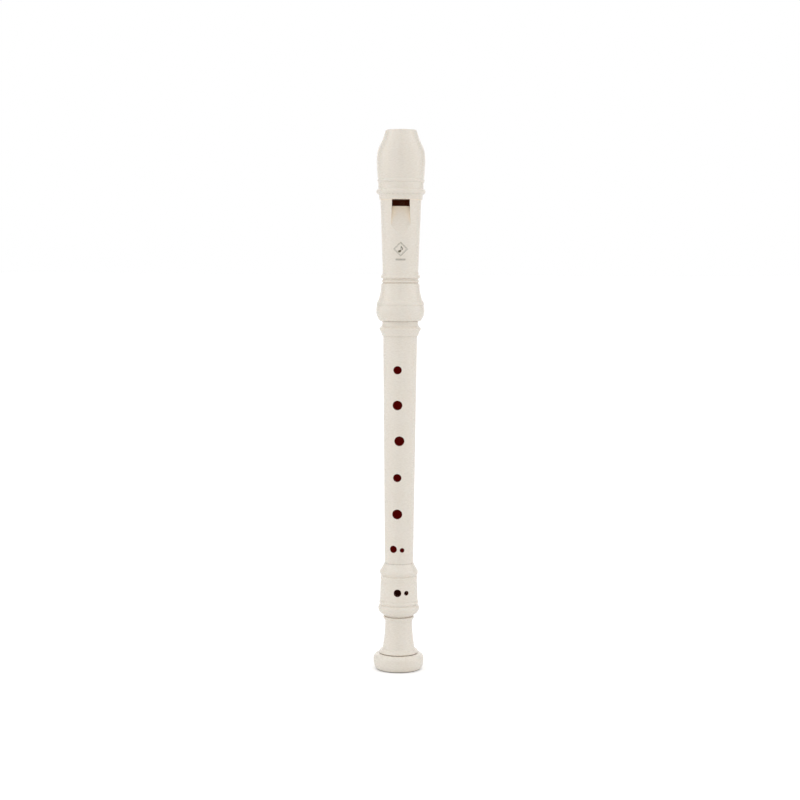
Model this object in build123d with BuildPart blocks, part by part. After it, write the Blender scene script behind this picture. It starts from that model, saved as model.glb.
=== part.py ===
from build123d import *
import os

os.makedirs("parts", exist_ok=True)

# Soprano recorder in moulded ABS, in three joints: head, middle joint and foot.
# Origin: centre of the foot's underside. +Z runs up the bore, the window faces -Y. All sizes in mm.

# ---- Heights along the bore ----
TIP_TOP = 330.0
BEAK_WIDEST = 312.0
BAND_BOTTOM = 287.45
WINDOW_TOP = 287.3
LIP_Z = 283.2
LINER_TOP = 262.0
SHELL_SEAM = 222.6
HEAD_END = 212.95
COLLAR_TOP = 212.85
COLLAR_BOTTOM = 203.6
MIDDLE_END = 64.8
FOOT_RIM = 64.7

# ---- Bore, sockets and tenons ----
HEAD_BORE_R = 6.6
MIDDLE_BORE_TOP_R = 6.5
MIDDLE_BORE_END_R = 5.0
FOOT_BORE_R = 5.2
TENON_GAP = 0.05
UPPER_TENON_R = 8.7
UPPER_TENON_LENGTH = 20.0
LOWER_TENON_R = 7.3
LOWER_TENON_LENGTH = 13.0
SOCKET_END_GAP = 0.4
MOUTH_CHAMFER = 0.5
GREASE_GROOVE = (1.2, 0.25)

# ---- Windway and window ----
WINDOW_WIDTH = 10.8
WINDWAY_FLOOR_Y = -6.9
WINDWAY_ROOF_Y = -8.1
WINDWAY_ENTRY_ROOF_Y = -8.5
WINDWAY_CHAMFER = 0.4
LIP_Y = -7.1
LIP_THICKNESS = 0.4
LIP_POCKET_LENGTH = 11.0
RAMP_SLOPE = 16.4
RAMP_LENGTH = 22.0
RAMP_END_WIDTH = 12.8

# ---- Beak ----
BEAK_SECTIONS = (
    # height, half width, half depth
    (BEAK_WIDEST, 14.95, 14.95),
    (315.6, 14.7, 14.85),
    (319.2, 13.8, 14.4),
    (322.8, 12.18, 13.55),
    (326.4, 10.82, 12.55),
    (TIP_TOP, 9.75, 11.6),
)
BEAK_CUT_R = 33.3
BEAK_CUT_Y = 30.7
BEAK_CUT_Z = 331.0
BEAK_EDGE_ROUND = 0.7

# ---- Liner and outer shell walls ----
SPIGOT_R = 10.1
SPIGOT_TOP = 234.5
LINER_R = 8.15
FOOT_TUBE_SOCKET_R = 8.7
FOOT_TUBE_SOCKET_BASE = 42.0
FOOT_TUBE_R = 6.7
FOOT_FLANGE_R = 10.6
FOOT_FLANGE_HEIGHT = 2.6
FOOT_LIP_HEIGHT = 1.8
SEAM_CHAMFER = 0.15

# ---- Finger holes: height, angle from the front (positive towards +X), diameter ----
MIDDLE_HOLES = (
    (183.3, -8.6, 4.7),
    (161.85, -8.5, 5.5),
    (140.1, -1.0, 5.6),
    (117.65, -8.4, 4.6),
    (95.5, -8.2, 5.6),
    (74.1, -23.8, 4.1),
    (73.55, 12.4, 2.5),
    (192.4, 171.6, 5.2),
)
FOOT_HOLES = ((47.9, -4.2, 4.2), (47.85, 23.8, 2.5))
HOLE_RIM_ROUND = 0.35
HOLE_RIM_MIN_R = 8.0
HOLE_DEPTH = 20.0


def is_outer_rim(edge):
    """True for the edge a hole makes on the outside, which lies well away from the bore."""
    centre = edge.bounding_box().center()
    return Vector(centre.X, centre.Y).length > HOLE_RIM_MIN_R


def is_beak_edge(edge):
    """True for the edges round the tip and along the concave back of the beak."""
    box = edge.bounding_box()
    on_tip = box.min.Z > TIP_TOP - 0.01
    along_back = box.max.Z > TIP_TOP - 0.01 and box.max.Y > 0
    return on_tip or along_back


# ---- Head: outside form, before it is bored ----
with BuildPart() as head_form:
    with BuildSketch(Plane.XZ):
        with BuildLine():
            Polyline(
                (0, BEAK_WIDEST),
                (0, SHELL_SEAM),
                (14.5 - SEAM_CHAMFER, SHELL_SEAM),
                (14.5, SHELL_SEAM + SEAM_CHAMFER),
                (14.5, 223.7),
            )
            # shoulder of the bulge, then the ogee up to the neck
            ThreePointArc((14.5, 223.7), (14.25, 224.7), (13.6, 225.6))
            ThreePointArc((13.6, 225.6), (12.35, 230.0), (11.85, 235.2))
            Polyline((11.85, 235.2), (11.7, 235.75), (10.9, 236.15), (10.85, 236.5))
            # two beads above the bulge
            ThreePointArc((10.85, 236.5), (11.5, 237.35), (10.85, 238.2))
            Line((10.85, 238.2), (10.85, 238.95))
            ThreePointArc((10.85, 238.95), (12.05, 239.95), (11.3, 241.2))
            # long taper up to the band over the window
            Polyline(
                (11.3, 241.2),
                (11.15, 241.9),
                (11.1, 242.9),
                (10.93, 243.3),
                (12.6, BAND_BOTTOM),
                (13.35, BAND_BOTTOM),
                (13.45, 289.7),
                (13.65, 290.5),
            )
            # ring, hollow and fine bead below the beak
            ThreePointArc((13.65, 290.5), (15.1, 292.3), (14.05, 293.95))
            Polyline((14.05, 293.95), (13.95, 294.8), (13.95, 297.75))
            ThreePointArc((13.95, 297.75), (14.55, 298.95), (14.22, 300.05))
            ThreePointArc((14.22, 300.05), (14.75, 306.0), (14.95, BEAK_WIDEST))
            Line((14.95, BEAK_WIDEST), (0, BEAK_WIDEST))
        make_face()
    revolve(axis=Axis.Z)
    # beak: elliptical sections, deeper than they are wide towards the tip
    for height, half_width, half_depth in BEAK_SECTIONS:
        with BuildSketch(Plane(origin=(0, 0, height), x_dir=(0, -1, 0), z_dir=(0, 0, 1))):
            Ellipse(half_depth, half_width)
    loft()
    # concave back of the beak
    with BuildSketch(Plane.YZ):
        with Locations((BEAK_CUT_Y, BEAK_CUT_Z)):
            Circle(BEAK_CUT_R)
    extrude(amount=20, both=True, mode=Mode.SUBTRACT)
    beak_edges = head_form.edges().filter_by(is_beak_edge)
    fillet(beak_edges, radius=BEAK_EDGE_ROUND)

# ---- Head: outer shell ----
with BuildPart() as head_outer_shell:
    add(head_form.part)
    # bore above the liner, filled by the block from the window's top edge to the tip
    with BuildSketch(Plane.XY.offset(LINER_TOP)):
        Circle(HEAD_BORE_R)
    extrude(until=Until.LAST, mode=Mode.SUBTRACT)
    # seat for the inner tube's spigot and liner
    with BuildSketch(Plane.XY.offset(SHELL_SEAM)):
        Circle(SPIGOT_R)
    extrude(amount=SPIGOT_TOP - SHELL_SEAM, mode=Mode.SUBTRACT)
    with BuildSketch(Plane.XY.offset(SPIGOT_TOP)):
        Circle(LINER_R)
    extrude(amount=LINER_TOP - SPIGOT_TOP, mode=Mode.SUBTRACT)
    # windway channel, chamfered where the air leaves it
    with BuildSketch(Plane.YZ):
        with BuildLine():
            Polyline(
                (0, WINDOW_TOP),
                (WINDWAY_ROOF_Y - WINDWAY_CHAMFER, WINDOW_TOP),
                (WINDWAY_ROOF_Y, WINDOW_TOP + WINDWAY_CHAMFER),
                (WINDWAY_ENTRY_ROOF_Y, TIP_TOP),
                (0, TIP_TOP),
                close=True,
            )
        make_face()
    extrude(amount=WINDOW_WIDTH / 2, both=True, mode=Mode.SUBTRACT)
    # window, and the flat pocket that thins the lip from inside
    with BuildSketch(Plane.XZ):
        with Locations((0, (WINDOW_TOP + LIP_Z) / 2)):
            Rectangle(WINDOW_WIDTH, WINDOW_TOP - LIP_Z)
    extrude(amount=20, mode=Mode.SUBTRACT)
    with BuildSketch(Plane.XZ):
        with Locations((0, LIP_Z - LIP_POCKET_LENGTH / 2)):
            Rectangle(WINDOW_WIDTH, LIP_POCKET_LENGTH)
    extrude(amount=-LIP_Y - LIP_THICKNESS, mode=Mode.SUBTRACT)
    # ramp down to the lip, widening away from it
    ramp = Plane(origin=(0, LIP_Y, LIP_Z), x_dir=(1, 0, 0), z_dir=(0, -1, 0)).rotated(
        (-RAMP_SLOPE, 0, 0)
    )
    with BuildSketch(ramp):
        with BuildLine():
            Polyline(
                (-WINDOW_WIDTH / 2, 0),
                (WINDOW_WIDTH / 2, 0),
                (RAMP_END_WIDTH / 2, -RAMP_LENGTH),
                (-RAMP_END_WIDTH / 2, -RAMP_LENGTH),
                close=True,
            )
        make_face()
    extrude(amount=15, mode=Mode.SUBTRACT)
head_outer_shell.part.label = "head_outer_shell"
export_step(head_outer_shell.part, "parts/head_outer_shell.step")

# ---- Head: windway block ----
with BuildPart() as windway_block:
    with BuildSketch(Plane.XY.offset(WINDOW_TOP)):
        Circle(HEAD_BORE_R)
    extrude(amount=TIP_TOP - WINDOW_TOP)
    # ridge whose flat top is the windway's floor
    with BuildSketch(Plane.YZ):
        with BuildLine():
            Polyline(
                (0, WINDOW_TOP),
                (WINDWAY_FLOOR_Y + WINDWAY_CHAMFER, WINDOW_TOP),
                (WINDWAY_FLOOR_Y, WINDOW_TOP + WINDWAY_CHAMFER),
                (WINDWAY_FLOOR_Y, TIP_TOP),
                (0, TIP_TOP),
                close=True,
            )
        make_face()
    extrude(amount=WINDOW_WIDTH / 2, both=True)
    add(head_form.part, mode=Mode.INTERSECT)
windway_block.part.label = "windway_block"
export_step(windway_block.part, "parts/windway_block.step")

# ---- Head: inner tube with the tenon socket ----
SOCKET_R = UPPER_TENON_R + TENON_GAP
SOCKET_TOP = COLLAR_TOP + UPPER_TENON_LENGTH + SOCKET_END_GAP
with BuildPart() as head_inner_tube:
    with BuildSketch(Plane.XZ):
        with BuildLine():
            Polyline(
                (HEAD_BORE_R, LINER_TOP),
                (HEAD_BORE_R, SOCKET_TOP),
                (SOCKET_R, SOCKET_TOP),
                (SOCKET_R, HEAD_END + MOUTH_CHAMFER),
                (SOCKET_R + MOUTH_CHAMFER, HEAD_END),
                (12.0, HEAD_END),
            )
            # lower half of the bulge
            ThreePointArc((12.0, HEAD_END), (12.6, 213.2), (13.0, 213.7))
            ThreePointArc((13.0, 213.7), (14.3, 216.2), (14.8, 219.2))
            ThreePointArc((14.8, 219.2), (14.74, 221.0), (14.5, SHELL_SEAM - SEAM_CHAMFER))
            Polyline(
                (14.5, SHELL_SEAM - SEAM_CHAMFER),
                (14.5 - SEAM_CHAMFER, SHELL_SEAM),
                (SPIGOT_R, SHELL_SEAM),
                (SPIGOT_R, SPIGOT_TOP),
                (LINER_R, SPIGOT_TOP),
                (LINER_R, LINER_TOP),
                (HEAD_BORE_R, LINER_TOP),
            )
        make_face()
    revolve(axis=Axis.Z)
head_inner_tube.part.label = "head_inner_tube"
export_step(head_inner_tube.part, "parts/head_inner_tube.step")

# ---- Middle joint ----
UPPER_TENON_TOP = COLLAR_TOP + UPPER_TENON_LENGTH
LOWER_TENON_END = MIDDLE_END - LOWER_TENON_LENGTH
with BuildPart() as middle_joint:
    with BuildSketch(Plane.XZ):
        with BuildLine():
            Polyline(
                (MIDDLE_BORE_END_R, LOWER_TENON_END),
                (MIDDLE_BORE_TOP_R, UPPER_TENON_TOP),
                (UPPER_TENON_R - MOUTH_CHAMFER, UPPER_TENON_TOP),
                (UPPER_TENON_R, UPPER_TENON_TOP - MOUTH_CHAMFER),
                (UPPER_TENON_R, COLLAR_TOP),
                (10.9, COLLAR_TOP),
                (11.05, COLLAR_TOP - 0.15),
                (11.05, 211.1),
            )
            # collar: flare, ring and cove down to the tube
            ThreePointArc((11.05, 211.1), (11.45, 209.9), (12.35, 209.05))
            ThreePointArc((12.35, 209.05), (12.75, 208.25), (12.5, 207.45))
            ThreePointArc((12.5, 207.45), (11.75, 206.25), (11.3, 205.1))
            Polyline(
                (11.3, 205.1),
                (11.2, 204.1),
                (10.4, COLLAR_BOTTOM),
                (8.67, MIDDLE_END),
                (LOWER_TENON_R, MIDDLE_END),
                (LOWER_TENON_R, LOWER_TENON_END + MOUTH_CHAMFER),
                (LOWER_TENON_R - MOUTH_CHAMFER, LOWER_TENON_END),
                (MIDDLE_BORE_END_R, LOWER_TENON_END),
            )
        make_face()
    revolve(axis=Axis.Z)
    # shallow grease grooves round each tenon
    groove_width, groove_depth = GREASE_GROOVE
    for tenon_r, groove_z in (
        (UPPER_TENON_R, UPPER_TENON_TOP - 5),
        (UPPER_TENON_R, COLLAR_TOP + 5),
        (LOWER_TENON_R, MIDDLE_END - 4),
        (LOWER_TENON_R, LOWER_TENON_END + 4),
    ):
        with BuildSketch(Plane.XY.offset(groove_z - groove_width / 2)):
            Circle(tenon_r + 1)
            Circle(tenon_r - groove_depth, mode=Mode.SUBTRACT)
        extrude(amount=groove_width, mode=Mode.SUBTRACT)
    for height, angle, diameter in MIDDLE_HOLES:
        with BuildSketch(Plane.XZ.rotated((0, 0, angle))):
            with Locations((0, height)):
                Circle(diameter / 2)
        extrude(amount=HOLE_DEPTH, mode=Mode.SUBTRACT)
    hole_edges = middle_joint.edges().filter_by(GeomType.BSPLINE)
    fillet(hole_edges.filter_by(is_outer_rim), radius=HOLE_RIM_ROUND)
middle_joint.part.label = "middle_joint"
export_step(middle_joint.part, "parts/middle_joint.step")

# ---- Foot: outer shell ----
FOOT_SOCKET_R = LOWER_TENON_R + TENON_GAP
FOOT_SOCKET_BASE = LOWER_TENON_END - SOCKET_END_GAP
FOOT_LIP_BASE = FOOT_RIM - FOOT_LIP_HEIGHT
with BuildPart() as foot_outer_shell:
    with BuildSketch(Plane.XZ):
        with BuildLine():
            # inner wall, from the rim down to the opening under the base
            Polyline(
                (8.9, FOOT_RIM),
                (FOOT_SOCKET_R + MOUTH_CHAMFER, FOOT_RIM),
                (FOOT_SOCKET_R, FOOT_RIM - MOUTH_CHAMFER),
                (FOOT_SOCKET_R, FOOT_LIP_BASE),
                (FOOT_TUBE_SOCKET_R, FOOT_LIP_BASE),
                (FOOT_TUBE_SOCKET_R, 36.0),
                (FOOT_TUBE_R + 0.1, 32.5),
                (FOOT_TUBE_R + 0.1, 22.0),
                (7.9, 15.0),
                (FOOT_FLANGE_R, 8.0),
                (FOOT_FLANGE_R, SEAM_CHAMFER),
                (FOOT_FLANGE_R + SEAM_CHAMFER, 0),
                (12.9, 0),
            )
            # base disc and the bead that stands on it
            ThreePointArc((12.9, 0), (13.55, 0.15), (14.1, 0.65))
            ThreePointArc((14.1, 0.65), (15.0, 2.95), (15.3, 6.1))
            ThreePointArc((15.3, 6.1), (14.6, 8.45), (12.5, 9.6))
            Polyline((12.5, 9.6), (11.5, 9.7), (11.9, 10.15))
            ThreePointArc((11.9, 10.15), (11.5, 11.35), (10.3, 12.1))
            # neck
            Line((10.3, 12.1), (9.75, 12.9))
            ThreePointArc((9.75, 12.9), (8.65, 20.5), (8.2, 28.2))
            ThreePointArc((8.2, 28.2), (8.45, 29.8), (9.1, 30.9))
            ThreePointArc((9.1, 30.9), (9.45, 31.5), (9.1, 32.1))
            # bowl and ring
            Polyline((9.1, 32.1), (8.55, 32.35), (8.65, 32.65), (9.7, 33.2), (10.85, 34.2))
            ThreePointArc((10.85, 34.2), (12.1, 35.55), (12.55, 37.1))
            ThreePointArc((12.55, 37.1), (12.3, 38.4), (11.75, 39.2))
            Polyline((11.75, 39.2), (11.45, 39.4), (11.65, 39.8))
            ThreePointArc((11.65, 39.8), (11.95, 40.9), (11.6, 41.8))
            # barrel
            Polyline(
                (11.6, 41.8),
                (11.4, 42.05),
                (11.52, 42.3),
                (11.22, 53.0),
                (11.05, 53.25),
                (11.05, 54.6),
                (11.22, 54.85),
                (11.18, 56.8),
                (10.8, 57.1),
                (10.8, 57.3),
                (11.1, 57.7),
            )
            # ring and taper under the rim
            ThreePointArc((11.1, 57.7), (11.62, 59.35), (10.9, 61.0))
            ThreePointArc((10.9, 61.0), (9.95, 62.5), (9.15, 64.2))
            Polyline((9.15, 64.2), (8.9, FOOT_RIM))
        make_face()
    revolve(axis=Axis.Z)
    for height, angle, diameter in FOOT_HOLES:
        with BuildSketch(Plane.XZ.rotated((0, 0, angle))):
            with Locations((0, height)):
                Circle(diameter / 2)
        extrude(amount=HOLE_DEPTH, mode=Mode.SUBTRACT)
    hole_edges = foot_outer_shell.edges().filter_by(GeomType.BSPLINE)
    fillet(hole_edges.filter_by(is_outer_rim), radius=HOLE_RIM_ROUND)
foot_outer_shell.part.label = "foot_outer_shell"
export_step(foot_outer_shell.part, "parts/foot_outer_shell.step")

# ---- Foot: inner tube with its socket and closing flange ----
with BuildPart() as foot_inner_tube:
    with BuildSketch(Plane.XZ):
        with BuildLine():
            Polyline(
                (FOOT_BORE_R, MOUTH_CHAMFER),
                (FOOT_BORE_R, FOOT_SOCKET_BASE),
                (FOOT_SOCKET_R, FOOT_SOCKET_BASE),
                (FOOT_SOCKET_R, FOOT_LIP_BASE),
                (FOOT_TUBE_SOCKET_R, FOOT_LIP_BASE),
                (FOOT_TUBE_SOCKET_R, FOOT_TUBE_SOCKET_BASE),
                (FOOT_TUBE_R, FOOT_TUBE_SOCKET_BASE - 3),
                (FOOT_TUBE_R, FOOT_FLANGE_HEIGHT),
                (FOOT_FLANGE_R, FOOT_FLANGE_HEIGHT),
                (FOOT_FLANGE_R, SEAM_CHAMFER),
                (FOOT_FLANGE_R - SEAM_CHAMFER, 0),
                (FOOT_BORE_R + MOUTH_CHAMFER, 0),
                close=True,
            )
        make_face()
    revolve(axis=Axis.Z)
    for height, angle, diameter in FOOT_HOLES:
        with BuildSketch(Plane.XZ.rotated((0, 0, angle))):
            with Locations((0, height)):
                Circle(diameter / 2)
        extrude(amount=HOLE_DEPTH, mode=Mode.SUBTRACT)
foot_inner_tube.part.label = "foot_inner_tube"
export_step(foot_inner_tube.part, "parts/foot_inner_tube.step")
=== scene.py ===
"""A moulded soprano recorder in satin ivory plastic: its looks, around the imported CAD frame."""

import math

import bmesh
import bpy
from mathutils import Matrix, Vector


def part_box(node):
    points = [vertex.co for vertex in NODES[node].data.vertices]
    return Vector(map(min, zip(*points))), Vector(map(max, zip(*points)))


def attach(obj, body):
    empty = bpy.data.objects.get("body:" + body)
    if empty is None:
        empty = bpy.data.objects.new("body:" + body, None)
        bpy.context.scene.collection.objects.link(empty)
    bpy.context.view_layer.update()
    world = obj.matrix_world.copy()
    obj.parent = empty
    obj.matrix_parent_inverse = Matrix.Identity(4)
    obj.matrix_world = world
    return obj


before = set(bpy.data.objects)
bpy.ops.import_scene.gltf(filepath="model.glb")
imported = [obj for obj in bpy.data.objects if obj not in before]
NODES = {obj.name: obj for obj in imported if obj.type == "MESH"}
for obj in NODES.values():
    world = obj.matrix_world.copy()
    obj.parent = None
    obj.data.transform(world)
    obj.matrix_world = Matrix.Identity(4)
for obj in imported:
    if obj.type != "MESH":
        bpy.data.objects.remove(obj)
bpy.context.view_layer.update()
MM = 0.001

# How far out from the axis, in metres, a measuring ray starts.
CLEAR_OF_PART = 1.0

# Camera: level with the middle of the tube, close to a metre away, with the lens shifted down.
CAMERA_DISTANCE = 1.05
CAMERA_SIDE = -0.33 * MM
CAMERA_HEIGHT = 0.2491
LENS_MM = 77.0
SENSOR_MM = 36.0
VERTICAL_SHIFT = -0.1725
CAMERA_ROLL = math.radians(-0.30)

# Light tent: its brightness, and where each part starts as an angle round the object from the camera.
# 1 is the picture's white. The camera looks in through a dark gap between the front panels.
FRONT_PANELS = 1.02
SIDE_PANELS = 1.80
DARK_CORNERS = 0.29
BACKDROP = 1.20
CEILING = 1.08
FRONT_FROM = (math.radians(0), math.radians(24))
SIDES_FROM = (math.radians(57), math.radians(83))
CORNERS_FROM = (math.radians(88), math.radians(116))
BACKDROP_FROM = (math.radians(132), math.radians(155))
CEILING_FROM = (0.50, 0.77)
LEFT_IS_BRIGHTER = 0.03
FLOOR_WHITE = 0.90
FLOOR_GLOW = 0.22
FLOOR_HALF = 30.0

# Ivory plastic, as linear colours.
IVORY = (0.800, 0.742, 0.662)
IVORY_WARM = (0.768, 0.700, 0.600)
# Painted shade: the warm, darker tint of tight grooves.
GROOVE_SHADE = (0.700, 0.510, 0.330)
WORN = (0.800, 0.760, 0.690)
# Painted shade: the contact shade along the lowest rounded edge of the foot.
FOOT_EDGE_SHADE = (0.300, 0.265, 0.225)
# Painted shade: the dark brown-red walls of the holes and the near-black depths of the bores.
HOLE_WALL_SHADE = (0.110, 0.026, 0.012)
DEEP_BORE_SHADE = (0.030, 0.003, 0.002)
INK = (0.095, 0.080, 0.038)

# Painted glow, emission that stands in for light soaking through the walls: the hollows end up dark red, or
# brown behind the window, and the half-shaded ramp a little warmer.
MIDDLE_GLOW = (0.055, 0.0012, 0.0010)
FOOT_GLOW = (0.008, 0.0014, 0.0008)
HEAD_GLOW = (0.020, 0.0034, 0.0010)
RAMP_GLOW = (0.100, 0.065, 0.025)

BLACK = (0.0, 0.0, 0.0)
WHITE = (1.0, 1.0, 1.0)

# The height ranges with finger holes, where the outside is a plain cone.
MIDDLE_HOLES = (67 * MM, 202 * MM)
FOOT_HOLES = (43 * MM, 52.5 * MM)

# The heights between which the window and its ramp lie.
WINDOW_AND_RAMP = (262 * MM, 288.5 * MM)

# The greased stretch of the upper tenon, as distances down from the tenon's top.
GREASE_STARTS = 0.5 * MM
GREASE_ENDS = 19.5 * MM


class Graph:
    """A short way to write one material's node tree."""

    def __init__(self, name=None, tree=None):
        self.tree = tree
        if tree is None:
            self.material = bpy.data.materials.new(name)
            self.material.use_nodes = True
            self.tree = self.material.node_tree
            self.shader = self.tree.nodes["Principled BSDF"]

    def feed(self, socket, value):
        """Links a socket to another node's output, or sets its plain value."""
        if isinstance(value, bpy.types.NodeSocket):
            self.tree.links.new(value, socket)
        elif isinstance(value, tuple) and len(value) == 3 and socket.type == "RGBA":
            socket.default_value = (*value, 1.0)
        else:
            socket.default_value = value

    def node(self, kind, settings=None, **inputs):
        """A new shader node. An underscore in an input's name stands for a space."""
        made = self.tree.nodes.new("ShaderNode" + kind)
        for name, value in (settings or {}).items():
            setattr(made, name, value)
        for name, value in inputs.items():
            self.feed(made.inputs[name.replace("_", " ")], value)
        return made

    def place(self):
        """The point on the part, in metres in the shared frame, whatever the pose."""
        return self.node("TexCoord").outputs["Object"]

    def calc(self, operation, first, second=0.0, clamp=False):
        made = self.node("Math", {"operation": operation, "use_clamp": clamp})
        self.feed(made.inputs[0], first)
        self.feed(made.inputs[1], second)
        return made.outputs[0]

    def remap(self, value, low, high, to_low=0.0, to_high=1.0):
        """A smooth step of value between low and high."""
        made = self.node("MapRange", {"interpolation_type": "SMOOTHSTEP"}, Value=value)
        for name, number in (("From Min", low), ("From Max", high), ("To Min", to_low), ("To Max", to_high)):
            made.inputs[name].default_value = number
        return made.outputs["Result"]

    def mix(self, share, first, second):
        """The first colour where share is 0, and the second where it is 1."""
        made = self.node("Mix", {"data_type": "RGBA", "clamp_factor": True})
        self.feed(made.inputs[0], share)
        self.feed(made.inputs[6], first)
        self.feed(made.inputs[7], second)
        return made.outputs[2]

    def noise(self, vector, size, detail=2.0, roughness=0.5):
        """Noise whose features are about size metres across."""
        made = self.node("TexNoise", Vector=vector, Scale=1 / size, Detail=detail, Roughness=roughness)
        return made.outputs["Fac"]

    def stretched(self, vector, x, y, z):
        """The point times a factor on each axis, so a factor under 1 draws a pattern out along it."""
        made = self.node("VectorMath", {"operation": "MULTIPLY"})
        self.feed(made.inputs[0], vector)
        made.inputs[1].default_value = (x, y, z)
        return made.outputs[0]

    def shifted(self, vector, seed):
        """The point moved by the seed, so that each piece has its own stretch of a pattern."""
        made = self.node("VectorMath", {"operation": "ADD"})
        self.feed(made.inputs[0], vector)
        made.inputs[1].default_value = (seed * 0.71, seed * 0.37, seed * 0.13)
        return made.outputs[0]

    def openness(self, reach, inside=False):
        """How much open space lies within reach of the surface: 0 deep in a hole, 1 in the open."""
        made = self.node("AmbientOcclusion", {"samples": 12, "only_local": True, "inside": inside})
        made.inputs["Distance"].default_value = reach
        return made.outputs["AO"]

    def bump(self, height, depth, strength=1.0, normal=None):
        made = self.node("Bump", Height=height, Distance=depth, Strength=strength)
        if normal is not None:
            self.feed(made.inputs["Normal"], normal)
        return made.outputs["Normal"]


def within(g, height, low, high, edge=0.5 * MM):
    """1 between two heights and 0 outside them, with a short soft edge inside each."""
    return g.calc("MULTIPLY", g.remap(height, low, low + edge), g.remap(height, high, high - edge))


def skin_line(piece, heights):
    """The outside radius of a turned piece at two heights, measured on its side, clear of the holes."""
    radii = []
    for height in heights:
        _, point, _, _ = NODES[piece].ray_cast(Vector((CLEAR_OF_PART, 0, height)), Vector((-1, 0, 0)))
        radii.append(point.x)
    return (*heights, *radii)


def depth_below_skin(g, place, height, skin):
    """Metres from the outer skin towards the axis, on surfaces that don't face straight out from it.
    It is zero on the skin itself, and above and below the skin line's ends."""
    low, high, low_radius, high_radius = skin
    outward = g.stretched(place, 1, 1, 0)
    radius = g.node("VectorMath", {"operation": "LENGTH"}, Vector=outward).outputs["Value"]
    facing = g.node("VectorMath", {"operation": "DOT_PRODUCT"})
    g.feed(facing.inputs[0], g.node("TexCoord").outputs["Normal"])
    g.feed(facing.inputs[1], g.node("VectorMath", {"operation": "NORMALIZE"}, Vector=outward).outputs[0])
    share = g.calc("DIVIDE", g.calc("SUBTRACT", height, low), high - low)
    surface = g.calc("ADD", low_radius, g.calc("MULTIPLY", share, high_radius - low_radius))
    inside = g.calc("MULTIPLY", within(g, height, low, high), g.remap(facing.outputs["Value"], 0.96, 0.80))
    return g.calc("MULTIPLY", inside, g.calc("SUBTRACT", surface, radius))


def hollows(g, place, height, open_far, skin):
    """Where the surface lies inside a hole or a bore, and where it lies deep inside: two shares, 0 to 1,
    that place the painted shade and glow of the hollows.
    """
    hollow = g.remap(open_far, 0.42, 0.18)
    if not skin:
        return hollow, hollow
    depth = depth_below_skin(g, place, height, skin)
    in_hole = g.calc("MAXIMUM", hollow, g.remap(depth, 0.03 * MM, 0.10 * MM))
    deep = g.calc("MAXIMUM", hollow, g.remap(depth, 0.3 * MM, 1.3 * MM))
    return in_hole, deep


def moulded_colour(g, own, mottling, warmth, worn):
    """Two ivories that flow into each other, paler on worn edges, with a painted warm shade in tight
    grooves.
    """
    flow = g.noise(g.stretched(own, 1, 1, 0.15), 2.2 * MM, 2)
    tone = g.calc("ADD", warmth - 0.5, g.calc("MULTIPLY", mottling, 0.8))
    tone = g.calc("ADD", tone, g.calc("MULTIPLY", flow, 0.2), clamp=True)
    colour = g.mix(tone, IVORY, IVORY_WARM)
    colour = g.mix(g.calc("MULTIPLY", worn, 0.30), colour, WORN)
    # Painted shade: where little open space lies near, the grooves turn warm and darker.
    return g.mix(g.remap(g.openness(1.6 * MM), 0.58, 0.22, 0.0, 0.65), colour, GROOVE_SHADE)


def with_painted_foot_edge_shade(g, colour, height, scuffs):
    """The colour with a patchy line of painted contact shade on the lowest rounded edge."""
    shade_patches = g.remap(scuffs, 0.30, 0.55, 0.75, 1.0)
    return g.mix(g.calc("MULTIPLY", g.remap(height, 0.95 * MM, 0.45 * MM), shade_patches), colour, FOOT_EDGE_SHADE)


def grease_film(g, own, height, greased):
    """How thick a smeared film lies, 0 to 1, within a range of heights."""
    film = within(g, height, *greased, edge=1 * MM)
    smear = g.remap(g.noise(g.stretched(own, 1, 1, 3), 2.5 * MM, 3), 0.35, 0.60, 0.35, 1.0)
    return g.calc("MULTIPLY", film, smear, clamp=True)


def plastic_relief(g, own, mottling, grain):
    """Slow waviness, fine grain, and hairlines round the tube from cleaning and handling."""
    hairlines = g.noise(g.stretched(own, 0.12, 0.12, 1), 0.09 * MM, 1)
    normal = g.bump(mottling, 0.02 * MM, 0.6)
    normal = g.bump(grain, 0.002 * MM, 0.5, normal)
    return g.bump(hairlines, 0.0008 * MM, 0.4, normal)


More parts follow.
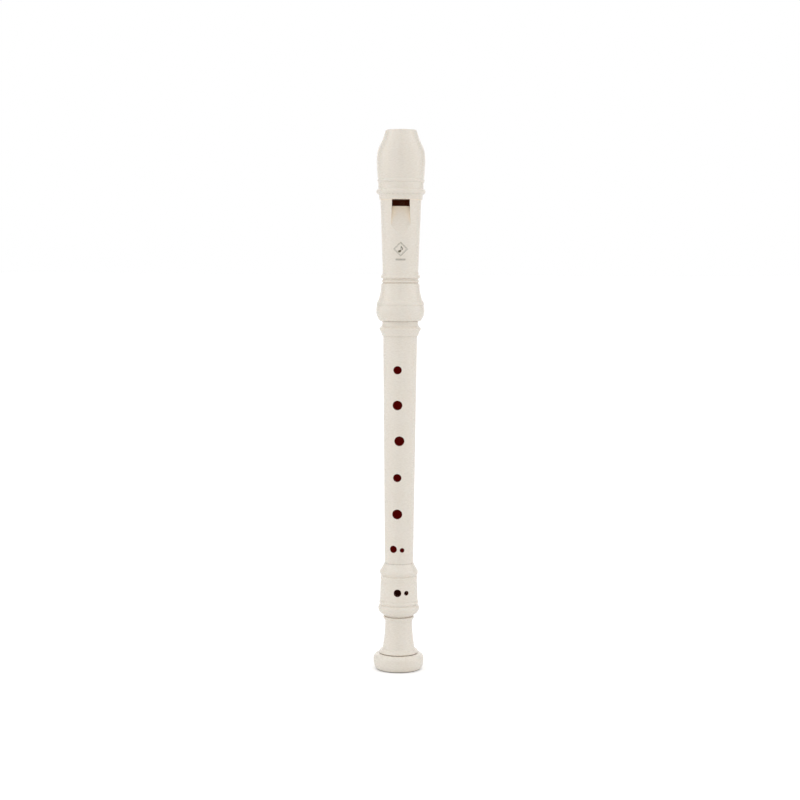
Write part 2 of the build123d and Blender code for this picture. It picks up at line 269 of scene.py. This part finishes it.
def ivory_plastic(name, seed, warmth, roughness=0.24, greased=None, skin=None, glow=HEAD_GLOW,
                  painted_ramp_light=None, shaded_foot_edge=False):
    """Moulded ivory plastic: flow mottling, handling scuffs and worn edges, with painted warm shade in tight
    grooves, and painted dark shade and glow in the hollows.
    greased is the height range of a tenon that carries a film of joint grease.
    skin is the line of the outside where finger holes cut through it.
    glow is painted light: emission in the hollows that stands in for light soaking through the wall.
    painted_ramp_light is painted light: emission on half-shaded places such as the ramp, standing in for
    light soaking through the wall.
    shaded_foot_edge is for the rounded edge the recorder stands on, which gets a patchy painted contact
    shade."""
    g = Graph(name)
    place = g.place()
    height = g.node("SeparateXYZ", Vector=place).outputs["Z"]
    own = g.shifted(place, seed)
    mottling = g.noise(own, 14 * MM, 3)
    grain = g.noise(own, 0.35 * MM, 2)
    scuffs = g.noise(g.stretched(own, 1, 1, 6), 1.6 * MM, 4, 0.65)
    open_far = g.openness(28 * MM)
    proud = g.openness(0.5 * MM, inside=True)
    worn = g.calc("MULTIPLY", g.remap(proud, 0.55, 0.85), g.remap(scuffs, 0.40, 0.62), clamp=True)
    hollow, deep = hollows(g, place, height, open_far, skin)

    colour = moulded_colour(g, own, mottling, warmth, worn)
    # Painted contact shade along the lowest rounded edge.
    if shaded_foot_edge:
        colour = with_painted_foot_edge_shade(g, colour, height, scuffs)
    # Painted shade: hole walls dark brown-red, and nearly black deep in the bores.
    colour = g.mix(hollow, colour, g.mix(deep, HOLE_WALL_SHADE, DEEP_BORE_SHADE))

    rough = g.calc("ADD", roughness - 0.07, g.calc("MULTIPLY", scuffs, 0.10))
    rough = g.calc("ADD", rough, g.calc("MULTIPLY", grain, 0.05))
    rough = g.calc("ADD", rough, g.calc("MULTIPLY", worn, 0.08), clamp=True)
    coat = 0.0
    if greased:
        film = grease_film(g, own, height, greased)
        rough = g.calc("MULTIPLY", rough, g.calc("SUBTRACT", 1.0, g.calc("MULTIPLY", film, 0.5)))
        coat = g.calc("MULTIPLY", film, 0.8)
    # Painted light on the half-shaded ramp by the window, as emission.
    half_lit = BLACK
    if painted_ramp_light:
        half_shade = g.calc("MULTIPLY", g.remap(open_far, 0.95, 0.60), within(g, height, *WINDOW_AND_RAMP))
        half_lit = g.mix(half_shade, BLACK, painted_ramp_light)

    g.feed(g.shader.inputs["Base Color"], colour)
    g.feed(g.shader.inputs["Roughness"], rough)
    g.feed(g.shader.inputs["Coat Weight"], coat)
    g.feed(g.shader.inputs["Coat Roughness"], 0.12)
    g.feed(g.shader.inputs["IOR"], 1.53)
    g.feed(g.shader.inputs["Specular IOR Level"], g.calc("SUBTRACT", 0.5, g.calc("MULTIPLY", hollow, 0.45)))
    # Painted glow: dark red deep in the hollows, and warm painted light on the half-shaded ramp.
    g.feed(g.shader.inputs["Emission Color"], g.mix(deep, half_lit, glow))
    g.feed(g.shader.inputs["Emission Strength"], 1.0)
    g.feed(g.shader.inputs["Subsurface Weight"], 0.12)
    g.feed(g.shader.inputs["Subsurface Radius"], (1.0, 0.65, 0.45))
    g.feed(g.shader.inputs["Subsurface Scale"], 0.8 * MM)
    g.feed(g.shader.inputs["Normal"], plastic_relief(g, own, mottling, grain))
    return g.material


def printing_ink(name):
    """Pad-printed ink: matt, a little thin in places."""
    g = Graph(name)
    place = g.place()
    thin = g.remap(g.noise(place, 0.25 * MM, 3), 0.45, 0.75, 0.0, 0.45)
    g.feed(g.shader.inputs["Base Color"], g.mix(thin, INK, IVORY_WARM))
    g.feed(g.shader.inputs["Roughness"], g.remap(g.noise(place, 0.1 * MM, 2), 0.3, 0.7, 0.42, 0.60))
    g.feed(g.shader.inputs["Normal"], g.bump(g.noise(place, 0.08 * MM, 2), 0.003 * MM, 0.6))
    return g.material


def finish_cad_nodes():
    """Each moulded piece gets its own batch of the plastic."""
    tenon_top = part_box("middle_joint")[1].z
    greased = (tenon_top - GREASE_ENDS, tenon_top - GREASE_STARTS)
    foot_skin = skin_line("foot_outer_shell", FOOT_HOLES)
    middle_skin = skin_line("middle_joint", MIDDLE_HOLES)
    looks = {
        "foot_outer_shell": dict(seed=1, warmth=0.33, skin=foot_skin, glow=FOOT_GLOW, shaded_foot_edge=True),
        "foot_inner_tube": dict(seed=2, warmth=0.40, roughness=0.28, skin=foot_skin, glow=FOOT_GLOW),
        "middle_joint": dict(seed=3, warmth=0.36, greased=greased, skin=middle_skin, glow=MIDDLE_GLOW),
        "head_outer_shell": dict(seed=4, warmth=0.36, painted_ramp_light=RAMP_GLOW),
        "head_inner_tube": dict(seed=5, warmth=0.38),
        "windway_block": dict(seed=6, warmth=0.48, roughness=0.30),
    }
    for name, look in looks.items():
        data = NODES[name].data
        data.materials.clear()
        data.materials.append(ivory_plastic(name + "_plastic", **look))


# The printed mark: flat shapes as (across, up) in millimetres from its own centre.
# A shape is a ribbon of rows, and a row holds two points, one on each side of the ribbon.
MARK_HEIGHT = 257.0 * MM
MARK_HALF = 4.35
RULE_DROP = 6.4
INK_PROUD = 0.025 * MM
INK_DEPTH = 0.05 * MM
JOINED = 0.0001 * MM


def stroke(points, width, step=0.35):
    """A ribbon along an open line."""
    rows = []
    for (x0, y0), (x1, y1) in zip(points, points[1:]):
        length = math.hypot(x1 - x0, y1 - y0)
        count = max(1, math.ceil(length / step))
        ox, oy = -(y1 - y0) / length * width / 2, (x1 - x0) / length * width / 2
        for i in range(count + 1):
            t = i / count
            x, y = x0 + (x1 - x0) * t, y0 + (y1 - y0) * t
            rows.append(((x + ox, y + oy), (x - ox, y - oy)))
    return rows


def ring_rows(corner_radius, width, corners, step=0.33):
    """A closed ribbon round a regular polygon that stands on a corner."""
    rows = []
    outer = corner_radius
    inner = corner_radius - width / math.cos(math.pi / corners)
    side = 2 * outer * math.sin(math.pi / corners)
    count = math.ceil(side / step)
    for k in range(corners):
        a0 = math.pi / 2 + 2 * math.pi * k / corners
        a1 = math.pi / 2 + 2 * math.pi * (k + 1) / corners
        for i in range(count):
            t = i / count
            ux = math.cos(a0) * (1 - t) + math.cos(a1) * t
            uy = math.sin(a0) * (1 - t) + math.sin(a1) * t
            rows.append(((ux * outer, uy * outer), (ux * inner, uy * inner)))
    rows.append(rows[0])
    return rows


def disc_rows(centre, half_width, half_height, tilt, segments=28, eye=0.02):
    """A filled ellipse as a closed ribbon round its rim, in to an eye too small to see."""
    rows = []
    for i in range(segments + 1):
        a = 2 * math.pi * i / segments
        x, y = half_width * math.cos(a), half_height * math.sin(a)
        px = centre[0] + x * math.cos(tilt) - y * math.sin(tilt)
        py = centre[1] + x * math.sin(tilt) + y * math.cos(tilt)
        rows.append(((px, py), (centre[0] + (px - centre[0]) * eye, centre[1] + (py - centre[1]) * eye)))
    return rows


def close_and_face_outward(mesh):
    """Joins the ends of closed ribbons and turns every face outward."""
    shape = bmesh.new()
    shape.from_mesh(mesh)
    bmesh.ops.remove_doubles(shape, verts=shape.verts, dist=JOINED)
    bmesh.ops.recalc_face_normals(shape, faces=shape.faces)
    shape.to_mesh(mesh)
    shape.free()


def print_on_head(name, ribbons, height, material):
    """Lays thin closed slabs of ink on the front of the head, following its surface.
    Each of a row's two points gives two corners, one on top of the ink and one below."""
    shell = NODES["head_outer_shell"]
    vertices, faces = [], []
    for rows in ribbons:
        start = len(vertices)
        for pair in rows:
            for across, up in pair:
                origin = Vector((across * MM, -CLEAR_OF_PART, height + up * MM))
                _, point, normal, _ = shell.ray_cast(origin, Vector((0, 1, 0)))
                vertices.append(point + normal * INK_PROUD)
                vertices.append(point + normal * (INK_PROUD - INK_DEPTH))
        for i in range(len(rows) - 1):
            a, b = start + 4 * i, start + 4 * (i + 1)
            faces.append((a, a + 2, b + 2, b))
            faces.append((a + 1, b + 1, b + 3, a + 3))
            faces.append((a, b, b + 1, a + 1))
            faces.append((a + 2, a + 3, b + 3, b + 2))
        last = len(vertices) - 4
        is_open = (vertices[start] - vertices[last]).length > JOINED
        if is_open:
            faces.append((start, start + 1, start + 3, start + 2))
            faces.append((last, last + 2, last + 3, last + 1))
    mesh = bpy.data.meshes.new(name)
    mesh.from_pydata(vertices, [], faces)
    close_and_face_outward(mesh)
    mesh.materials.append(material)
    piece = bpy.data.objects.new(name, mesh)
    bpy.context.scene.collection.objects.link(piece)
    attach(piece, "head")


def print_mark():
    """A plain lozenge with a quaver in it, over a thin double rule."""
    ink = printing_ink("printing_ink")
    lozenge = ring_rows(MARK_HALF, 0.18, 4)
    inner_lozenge = ring_rows(MARK_HALF - 0.75, 0.10, 4)
    note_head = disc_rows((-0.60, -1.35), 1.00, 0.70, math.radians(22))
    stem = stroke([(0.26, -1.15), (0.26, 1.80)], 0.34)
    flag = stroke([(0.26, 1.75), (0.68, 1.05), (1.12, 0.55), (1.18, -0.05), (0.96, -0.55)], 0.46)
    print_on_head("printed_mark", [lozenge, inner_lozenge, note_head, stem, flag], MARK_HEIGHT, ink)
    rules = [stroke([(-3.0, y), (3.0, y)], 0.26) for y in (0.28, -0.28)]
    print_on_head("printed_rule", rules, MARK_HEIGHT - RULE_DROP * MM, ink)


def build_floor():
    """A white table, lit a little from inside and clear from below."""
    g = Graph("floor_white")
    tint = g.remap(g.noise(g.place(), 0.05, 3), 0.3, 0.7, FLOOR_WHITE - 0.01, FLOOR_WHITE + 0.01)
    to_camera = g.node("LightPath").outputs["Is Camera Ray"]
    g.feed(g.shader.inputs["Base Color"], g.node("CombineColor", Red=tint, Green=tint, Blue=tint).outputs[0])
    g.feed(g.shader.inputs["Roughness"], 0.8)
    g.feed(g.shader.inputs["Specular IOR Level"], 0.0)
    g.feed(g.shader.inputs["Emission Color"], WHITE)
    g.feed(g.shader.inputs["Emission Strength"], g.calc("MULTIPLY", to_camera, FLOOR_GLOW))
    shown = g.node("MixShader")
    g.feed(shown.inputs[0], g.node("NewGeometry").outputs["Backfacing"])
    g.feed(shown.inputs[1], g.shader.outputs[0])
    g.feed(shown.inputs[2], g.node("BsdfTransparent").outputs[0])
    g.feed(g.tree.nodes["Material Output"].inputs["Surface"], shown.outputs[0])

    half = FLOOR_HALF
    corners = [(-half, -half, 0), (half, -half, 0), (half, half, 0), (-half, half, 0)]
    mesh = bpy.data.meshes.new("floor")
    mesh.from_pydata(corners, [], [(0, 1, 2, 3)])
    mesh.materials.append(g.material)
    floor = bpy.data.objects.new("floor", mesh)
    bpy.context.scene.collection.objects.link(floor)


def build_light_tent():
    """White panels all round the part, with a dim gap for the camera; the camera itself sees plain white."""
    world = bpy.data.worlds.new("light_tent")
    bpy.context.scene.world = world
    world.use_nodes = True
    g = Graph(tree=world.node_tree)
    direction = g.node("SeparateXYZ", Vector=g.node("TexCoord").outputs["Generated"])
    x, y, up = (direction.outputs[axis] for axis in "XYZ")
    angle = g.calc("ARCTAN2", g.calc("ABSOLUTE", x), g.calc("MULTIPLY", y, -1.0))
    light = g.remap(angle, *FRONT_FROM, 0.0, FRONT_PANELS)
    light = g.calc("ADD", light, g.remap(angle, *SIDES_FROM, 0.0, SIDE_PANELS - FRONT_PANELS))
    light = g.calc("ADD", light, g.remap(angle, *CORNERS_FROM, 0.0, DARK_CORNERS - SIDE_PANELS))
    light = g.calc("ADD", light, g.remap(angle, *BACKDROP_FROM, 0.0, BACKDROP - DARK_CORNERS))
    light = g.calc("MULTIPLY", light, g.calc("SUBTRACT", 1.0, g.calc("MULTIPLY", x, LEFT_IS_BRIGHTER)))
    overhead = g.remap(up, *CEILING_FROM)
    light = g.calc("ADD", light, g.calc("MULTIPLY", overhead, g.calc("SUBTRACT", CEILING, light)))
    seen = g.node("LightPath").outputs["Is Camera Ray"]
    light = g.calc("ADD", light, g.calc("MULTIPLY", seen, g.calc("SUBTRACT", 1.0, light)))
    g.feed(g.tree.nodes["Background"].inputs["Color"], WHITE)
    g.feed(g.tree.nodes["Background"].inputs["Strength"], light)


def shift_only_from_the_front(camera):
    """Holds the lens shift while the camera stands at its own distance, and lets it go when it moves away.
    Each key is metres from that distance and the share of the shift."""
    curve = camera.data.driver_add("shift_y")
    curve.driver.type = "AVERAGE"
    reading = curve.driver.variables.new()
    reading.type = "TRANSFORMS"
    target = reading.targets[0]
    target.id = camera
    target.transform_type = "LOC_Y"
    target.transform_space = "WORLD_SPACE"
    for modifier in list(curve.modifiers):
        curve.modifiers.remove(modifier)
    for offset, share in ((-0.10, 0), (-0.05, 1), (0.05, 1), (0.10, 0)):
        key = curve.keyframe_points.insert(offset - CAMERA_DISTANCE, share * VERTICAL_SHIFT)
        key.interpolation = "LINEAR"


def place_camera():
    data = bpy.data.cameras.new("camera")
    data.lens = LENS_MM
    data.sensor_width = SENSOR_MM
    camera = bpy.data.objects.new("camera", data)
    bpy.context.scene.collection.objects.link(camera)
    camera.location = (CAMERA_SIDE, -CAMERA_DISTANCE, CAMERA_HEIGHT)
    camera.rotation_euler = (math.radians(90), CAMERA_ROLL, 0)
    bpy.context.scene.camera = camera
    shift_only_from_the_front(camera)


finish_cad_nodes()
print_mark()
build_floor()
build_light_tent()
place_camera()
bpy.context.scene.view_settings.view_transform = "Standard"
